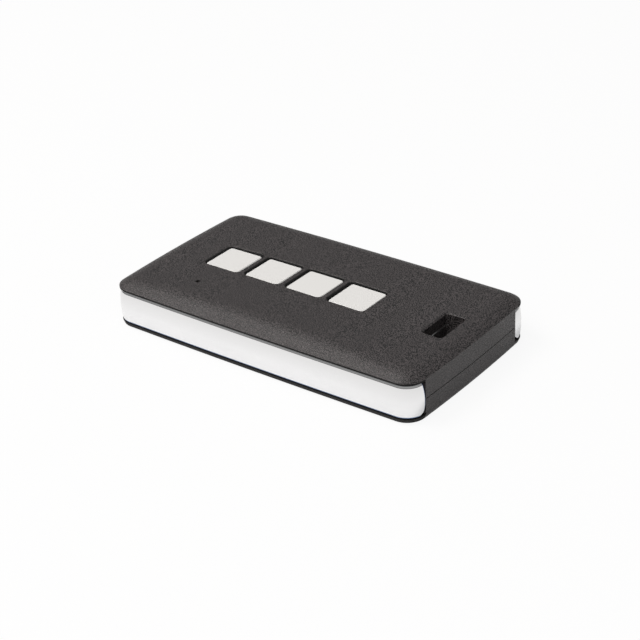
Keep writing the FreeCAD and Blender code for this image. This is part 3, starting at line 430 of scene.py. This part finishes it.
def trim_section(net, low, high):
    """Loop of the strip's section at mid length: flat back, bowed face, eased edges."""
    face = -HALF_WIDTH - TRIM_STAND
    depth = -(HALF_WIDTH - TRIM_BACK) - face
    bmesh.ops.create_grid(net, x_segments=1, y_segments=1, size=0.5)
    bmesh.ops.rotate(net, verts=net.verts, matrix=Matrix.Rotation(math.pi / 2, 3, "Y"))
    bmesh.ops.scale(net, vec=(1, depth, high - low), verts=net.verts)
    bmesh.ops.translate(net, vec=(0, face + depth / 2, (low + high) / 2), verts=net.verts)
    outer = [vert for vert in net.verts if vert.co.y < face + depth / 2]
    bmesh.ops.bevel(net, geom=outer, offset=EDGE_EASE, segments=EASE_STEPS, profile=0.5,
                    affect="VERTICES", material=-1)
    tall = [edge for edge in net.edges
            if abs(edge.verts[0].co.z - edge.verts[1].co.z) > (high - low) / 2
            and edge.verts[0].co.y < face + depth / 2]
    bmesh.ops.subdivide_edges(net, edges=tall, cuts=FACE_CUTS)
    bmesh.ops.bisect_plane(net, geom=list(net.verts) + list(net.edges) + list(net.faces),
                           plane_co=(0, 0, high - CHAMFER), plane_no=(0, 0, 1))
    for vert in net.verts:
        share = 1 - (vert.co.y - face) / depth
        fall = TRIM_BARREL - math.sqrt(TRIM_BARREL ** 2 - (vert.co.z - TRIM_BULGE) ** 2)
        fall += max(0, vert.co.z - high + CHAMFER) * CHAMFER_SLOPE
        vert.co.y += share * fall
    bmesh.ops.delete(net, geom=list(net.faces), context="FACES_ONLY")
    return list(net.edges)


def swept(net, loop, middle, angle, steps):
    """Turn a loop about an upright axis and give the loop it ends as."""
    corners = list({vert for edge in loop for vert in edge.verts})
    made = bmesh.ops.spin(net, geom=loop + corners, cent=middle, axis=(0, 0, 1), dvec=(0, 0, 0),
                          angle=angle, steps=steps, use_duplicate=False)
    return [part for part in made["geom_last"] if isinstance(part, bmesh.types.BMEdge)]


def bow_end(z, low, high, axis):
    """How far along the end face, in y, a trim's D-shaped end reaches at a height."""
    for level, corner, way in ((high, END_TOP_CORNER, -1), (low, END_BASE_CORNER, 1)):
        inner = END_BOW - corner
        lift = level + way * corner - TRIM_BULGE
        back = math.sqrt(inner ** 2 - lift ** 2)
        tangent = TRIM_BULGE + lift * END_BOW / inner
        if (z - tangent) * way < 0:
            rise = z - level - way * corner
            return back - axis + math.sqrt(max(corner ** 2 - rise ** 2, 0))
    return math.sqrt(END_BOW ** 2 - (z - TRIM_BULGE) ** 2) - axis


def on_outline(y, offset, z, side):
    """Point of the front half of the outline past a corner's start, moved outwards by an offset."""
    middle, radius = CORNER_MIDDLE, CORNER_RADIUS
    if y >= CORNER_END_Y:
        middle, radius = END_MIDDLE, END_RADIUS
    sine = (y - middle.y) / radius
    place = middle + Vector((math.sqrt(1 - sine ** 2), sine, 0)) * (radius + offset)
    return Vector((place.x * side, place.y, z))


def shape_trim_end(net, side, apex, low, high):
    """Draw the rings past a corner's start back to the D, and ease the edge they end in."""
    axis = END_BOW - apex
    for vert in net.verts:
        x = vert.co.x * side
        if x <= CORNER_MIDDLE.x + CORNER_RADIUS * math.cos(LEAN):
            continue
        flat = Vector((x, vert.co.y, 0))
        middle, radius = CORNER_MIDDLE, CORNER_RADIUS
        if math.atan2(flat.y - END_MIDDLE.y, flat.x - END_MIDDLE.x) > SWING:
            middle, radius = END_MIDDLE, END_RADIUS
        out = flat - middle
        offset = out.length - radius
        y = middle.y + out.y / out.length * radius
        reach = bow_end(vert.co.z, low, high, axis)
        kept = apex - y
        if kept > END_EASE:
            share = (y - CORNER_START_Y) / (apex - END_EASE - CORNER_START_Y)
            y = CORNER_START_Y + share * (reach - END_EASE - CORNER_START_Y)
        else:
            y = reach - kept
            into = min(END_EASE, END_EASE - kept)
            ease = END_EASE - math.sqrt(END_EASE ** 2 - into ** 2)
            offset -= ease * min(1, max(0, 1 + (offset - TRIM_STAND) / TRIM_BACK))
        vert.co = on_outline(y, offset, vert.co.z, side)


def make_trim(name, node, turned):
    """A chromed side strip: bowed section, wrapped round two corners, D-shaped ends."""
    low, high = (corner.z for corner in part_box(node))
    high -= TOP_GAP
    net = bmesh.new()
    loop = trim_section(net, low, high)
    side_bow = HALF_LENGTH ** 2 / 2 / SIDE_RADIUS
    for side, reach in ((1, SHORT_END), (-1, LONG_END)):
        apex = CORNER_RADIUS - HALF_WIDTH + side_bow + reach - 2 * SHORT_END + END_FILL
        run = swept(net, loop, SIDE_MIDDLE, (LEAN + math.pi / 2) * side, SIDE_STEPS)
        corner = Vector((CORNER_MIDDLE.x * side, CORNER_MIDDLE.y, 0))
        if apex < CORNER_END_Y + END_EASE:
            bend = math.asin((apex - END_EASE - CORNER_MIDDLE.y) / CORNER_RADIUS)
            run = swept(net, run, corner, (bend - LEAN) * side, CORNER_STEPS)
            tip = math.asin((apex - CORNER_MIDDLE.y) / CORNER_RADIUS)
            run = swept(net, run, corner, (tip - bend) * side, EASE_STEPS)
        else:
            end = Vector((END_MIDDLE.x * side, 0, 0))
            run = swept(net, run, corner, (SWING - LEAN) * side, CORNER_STEPS)
            bend = math.asin((apex - END_EASE) / END_RADIUS)
            run = swept(net, run, end, (bend - SWING) * side, END_STEPS)
            tip = math.asin(apex / END_RADIUS)
            run = swept(net, run, end, (tip - bend) * side, EASE_STEPS)
        bmesh.ops.edgeloop_fill(net, edges=run)
        shape_trim_end(net, side, apex, low, high)
    bmesh.ops.remove_doubles(net, verts=net.verts, dist=MERGE_GAP)
    bmesh.ops.recalc_face_normals(net, faces=net.faces)
    bmesh.ops.rotate(net, verts=net.verts, matrix=Matrix.Rotation(turned, 3, "Z"))
    settle(net, name, FINISHES["chromed_trim"], node, "case")


make_trim("front_trim_strip", "side_trim_front", 0)
make_trim("rear_trim_strip", "side_trim_rear", math.pi)


def studio():
    """Camera that stands where the photographer's stood, and plain colours."""
    scene = bpy.context.scene
    scene.view_settings.view_transform = "Standard"
    level = math.cos(CAMERA_ELEVATION)
    back = Vector((math.sin(CAMERA_AZIMUTH) * level, -math.cos(CAMERA_AZIMUTH) * level,
                   math.sin(CAMERA_ELEVATION)))
    camera = bpy.data.objects.new("camera", bpy.data.cameras.new("camera"))
    scene.collection.objects.link(camera)
    camera.location = CAMERA_AIM + back * CAMERA_DISTANCE
    aimed = (-back).to_track_quat("-Z", "Y").to_matrix().to_4x4()
    camera.rotation_euler = (aimed @ Matrix.Rotation(CAMERA_ROLL, 4, "Z")).to_euler()
    camera.data.sensor_width, camera.data.lens = SENSOR, LENS
    camera.data.shift_y = SHIFT_UP
    camera.data.clip_start, camera.data.clip_end = 0.01, 20
    scene.camera = camera


def lamp(name, place, aim, size, power, colour=(1, 1, 1), mirrored=True):
    """Rectangular soft box of size (width, height), facing its aim, mirrored in gloss or not."""
    light = bpy.data.lights.new(name, "AREA")
    light.shape, light.size, light.size_y = "RECTANGLE", size[0], size[1]
    light.energy, light.color = power, colour
    made = bpy.data.objects.new(name, light)
    bpy.context.scene.collection.objects.link(made)
    made.location = place
    made.visible_glossy = mirrored
    made.rotation_euler = (Vector(aim) - Vector(place)).to_track_quat("-Z", "Y").to_euler()


def floor():
    """Wide pale floor that keeps part of the object's shadow."""
    net = bmesh.new()
    bmesh.ops.create_grid(net, x_segments=8, y_segments=8, size=FLOOR_SIZE)
    bmesh.ops.translate(net, vec=(0, 0, -FLOOR_DROP), verts=net.verts)
    mesh = bpy.data.meshes.new("floor")
    net.to_mesh(mesh)
    net.free()
    made = bpy.data.objects.new("floor", mesh)
    bpy.context.scene.collection.objects.link(made)
    finish = Finish("pale_paper", Roughness=0.9)
    paper = finish.noise(PAPER_FIBRE, 3.0)
    finish.feed("Base Color", finish.blend(paper, grey(0.84), grey(0.88)))
    glow = finish.node("ShaderNodeEmission", {}, {"Color": grey(1.0), "Strength": 1.0})
    share = finish.shown(0, FLOOR_IN_GLOSS) * FLOOR_WHITE
    lit = Sum(finish, finish.shader.outputs[0])
    mixed = finish.node("ShaderNodeMixShader", {}, {0: share, 1: lit, 2: glow})
    finish.tree.links.new(mixed.socket, finish.tree.nodes["Material Output"].inputs["Surface"])
    mesh.materials.append(finish.material)


def sky():
    """Room light from above that falls off towards the horizon."""
    world = bpy.data.worlds.new("studio")
    bpy.context.scene.world = world
    wiring = Wiring(world)
    way = wiring.node("ShaderNodeTexCoord", {}, {}, "Generated")
    rise = wiring.node("ShaderNodeSeparateXYZ", {}, {"Vector": way}, "Z")
    room = wiring.node("ShaderNodeMapRange", {"clamp": True}, {"Value": rise, "From Min": 0.0,
                       "From Max": 1.0, "To Min": HORIZON_LEVEL, "To Max": ZENITH_LEVEL})
    back = wiring.tree.nodes["Background"]
    back.inputs["Color"].default_value = grey(1.0)
    wiring.tree.links.new(wiring.shown(room, ROOM_IN_GLOSS).socket, back.inputs["Strength"])


studio()
floor()
sky()
lamp("side_box", (-0.44, -0.26, 0.82), (0, 0, 0), (0.45, 0.45), 4.6, (1.0, 0.965, 0.94))
lamp("front_box", (0.13, -0.75, 0.85), (0, 0, 0), (0.7, 0.7), 6.0, mirrored=False)
